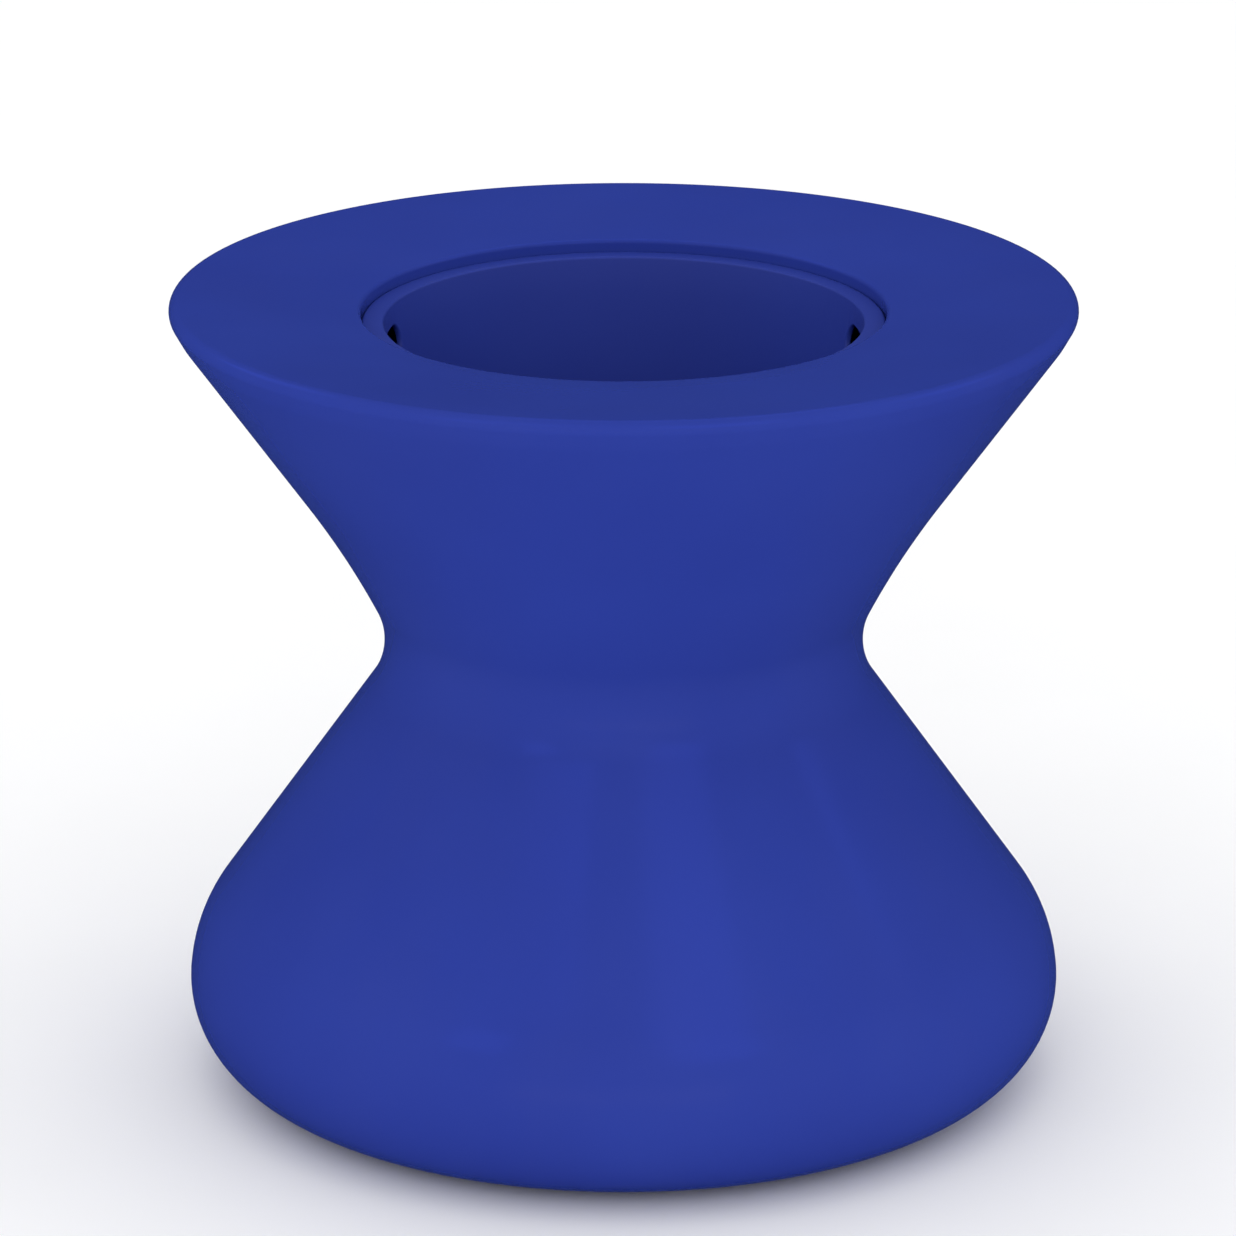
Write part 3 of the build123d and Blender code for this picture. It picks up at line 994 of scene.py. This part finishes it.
def foot_pads(rubber):
    """Rubber discs with round grooves in their soles and a sunk hole for the screw."""
    low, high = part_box("foot_pads")
    outline = [(pad_head_hole_radius, low.z)]
    for groove in range(pad_groove_count):
        start = pad_head_hole_radius + pad_groove_width + groove * pad_groove_pitch
        outline += [
            (start, low.z),
            (start, low.z + pad_groove_depth),
            (start + pad_groove_width, low.z + pad_groove_depth),
            (start + pad_groove_width, low.z),
        ]
    outer = len(outline)
    outline += [
        (pad_radius, low.z),
        (pad_radius, high.z),
        (pad_screw_hole_radius, high.z),
        (pad_screw_hole_radius, pad_head_seat),
        (pad_head_hole_radius, pad_head_seat),
    ]
    rounds = {outer: pad_edge_round, outer + 1: fine_edge}
    pads = [moved(turned(outline, rounds), place) for place in pad_places()]
    set_down(gather(pads), "grooved_foot_pads", "table", rubber, "rubber", "foot_pads")


def dress_nodes(material, *names):
    """Gives pieces that keep their solid's shape their material."""
    for name in names:
        node = nodes[name]
        node.data.materials.clear()
        node.data.materials.append(material)


# Studio

def studio_floor():
    """Plain pale floor, which doesn't show in the gloss of what stands on it."""
    material, tree, shader = new_material("pale_floor", (0.9, 0.9, 0.9), 0.7)
    shader.inputs["Specular IOR Level"].default_value = 0.1
    tone = spread(tree, noise(tree, scale=3), noise_middle, whole)
    dress(tree, shader, blend_colours(tree, tone, (0.94, 0.94, 0.94), (0.96, 0.96, 0.96)))
    bm = bmesh.new()
    bmesh.ops.create_grid(bm, x_segments=2, y_segments=2, size=floor_half)
    floor = as_object(moved(bm, Vector((0, 0, -floor_drop))), "floor")
    floor.data.materials.append(material)
    floor.visible_glossy = False


def lamp(name, place, aim, size, power, only_gloss=False):
    """Soft rectangular lamp aimed at a point, seen either by its light or by its reflection."""
    light = bpy.data.lights.new(name, "AREA")
    light.shape = "RECTANGLE"
    light.size, light.size_y = size
    light.energy = power
    holder = bpy.data.objects.new(name, light)
    place = Vector(place)
    facing = (Vector(aim) - place).to_track_quat("-Z", "Y").to_matrix().to_4x4()
    holder.matrix_world = Matrix.Translation(place) @ facing
    holder.visible_glossy = only_gloss
    holder.visible_diffuse = not only_gloss
    bpy.context.scene.collection.objects.link(holder)
    return light


def studio_sky():
    """Even white light from all round, which shows as a dim blue room in the gloss."""
    world = bpy.data.worlds.new("studio")
    bpy.context.scene.world = world
    world.use_nodes = True
    tree = world.node_tree
    in_gloss, colour = mixer(tree, (sky_strength, sky_strength, sky_strength), sky_in_gloss)
    rays = tree.nodes.new("ShaderNodeLightPath")
    tree.links.new(rays.outputs["Is Glossy Ray"], in_gloss)
    tree.links.new(colour, tree.nodes["Background"].inputs["Color"])


def studio_lights():
    """A soft key, a low fill, and blue-tinted windows that only show in the gloss."""
    lamp("key", key_place, table_middle, key_size, key_power)
    lamp("low_fill", fill_place, fill_aim, fill_size, fill_power)
    for name, (turn, level, *size) in windows.items():
        azimuth = math.radians(turn)
        rise = math.radians(level)
        away = Vector((
            math.sin(azimuth) * math.cos(rise), -math.cos(azimuth) * math.cos(rise), math.sin(rise),
        ))
        place = Vector(table_middle) + away * window_distance
        power = window_strength * size[0] * size[1]
        window = lamp(f"window_{name}", place, table_middle, size, power, only_gloss=True)
        window.color = window_tint


def set_camera():
    """Camera at the photograph's viewpoint."""
    data = bpy.data.cameras.new("camera")
    data.sensor_width = sensor_width
    data.lens = camera_focus * sensor_width / frame_width
    data.shift_x = (frame_width / 2 - camera_axis_pixel) / frame_width
    data.clip_end = camera_reach
    camera = bpy.data.objects.new("camera", data)
    camera.location = (0, -camera_distance, camera_height)
    camera.rotation_euler = (math.pi / 2 - camera_pitch, 0, 0)
    bpy.context.scene.collection.objects.link(camera)
    bpy.context.scene.camera = camera


set_camera()
bpy.context.scene.view_settings.view_transform = "Standard"
studio_floor()
studio_sky()
studio_lights()

skin_blue = moulded_blue("moulded_blue", gloss=0.16)
bucket_blue = moulded_blue("bucket_blue", gloss=0.36)
foam = bead_foam()
white = plain_plastic("white_plastic", low=(0.66, 0.66, 0.64), high=(0.74, 0.74, 0.72),
                      gloss=0.34, grain_depth=0.012 * mm)
black = plain_plastic("black_plastic", low=(0.020, 0.020, 0.022), high=(0.034, 0.034, 0.036),
                      gloss=0.42, grain_depth=0.02 * mm)
rubber = soft_rubber()
steel = brushed_metal()

table_body(skin_blue)
ice_bin(bucket_blue)
foam_jacket(foam)
drain_fitting(white)
stopper(white)
standpipe(white)
outlet(black)
bung(black)
ballast_plug(black)
foot_pads(rubber)
dress_nodes(steel, "pad_screws", "drain_strainer")
dress_nodes(rubber, "bin_seat_ring", "drain_gasket", "spigot_ring", "stopper_ring",
            "outlet_gasket", "bung_gasket", "plug_ring")
dress_nodes(black, "drain_nut", "outlet_nut", "bung_nut")
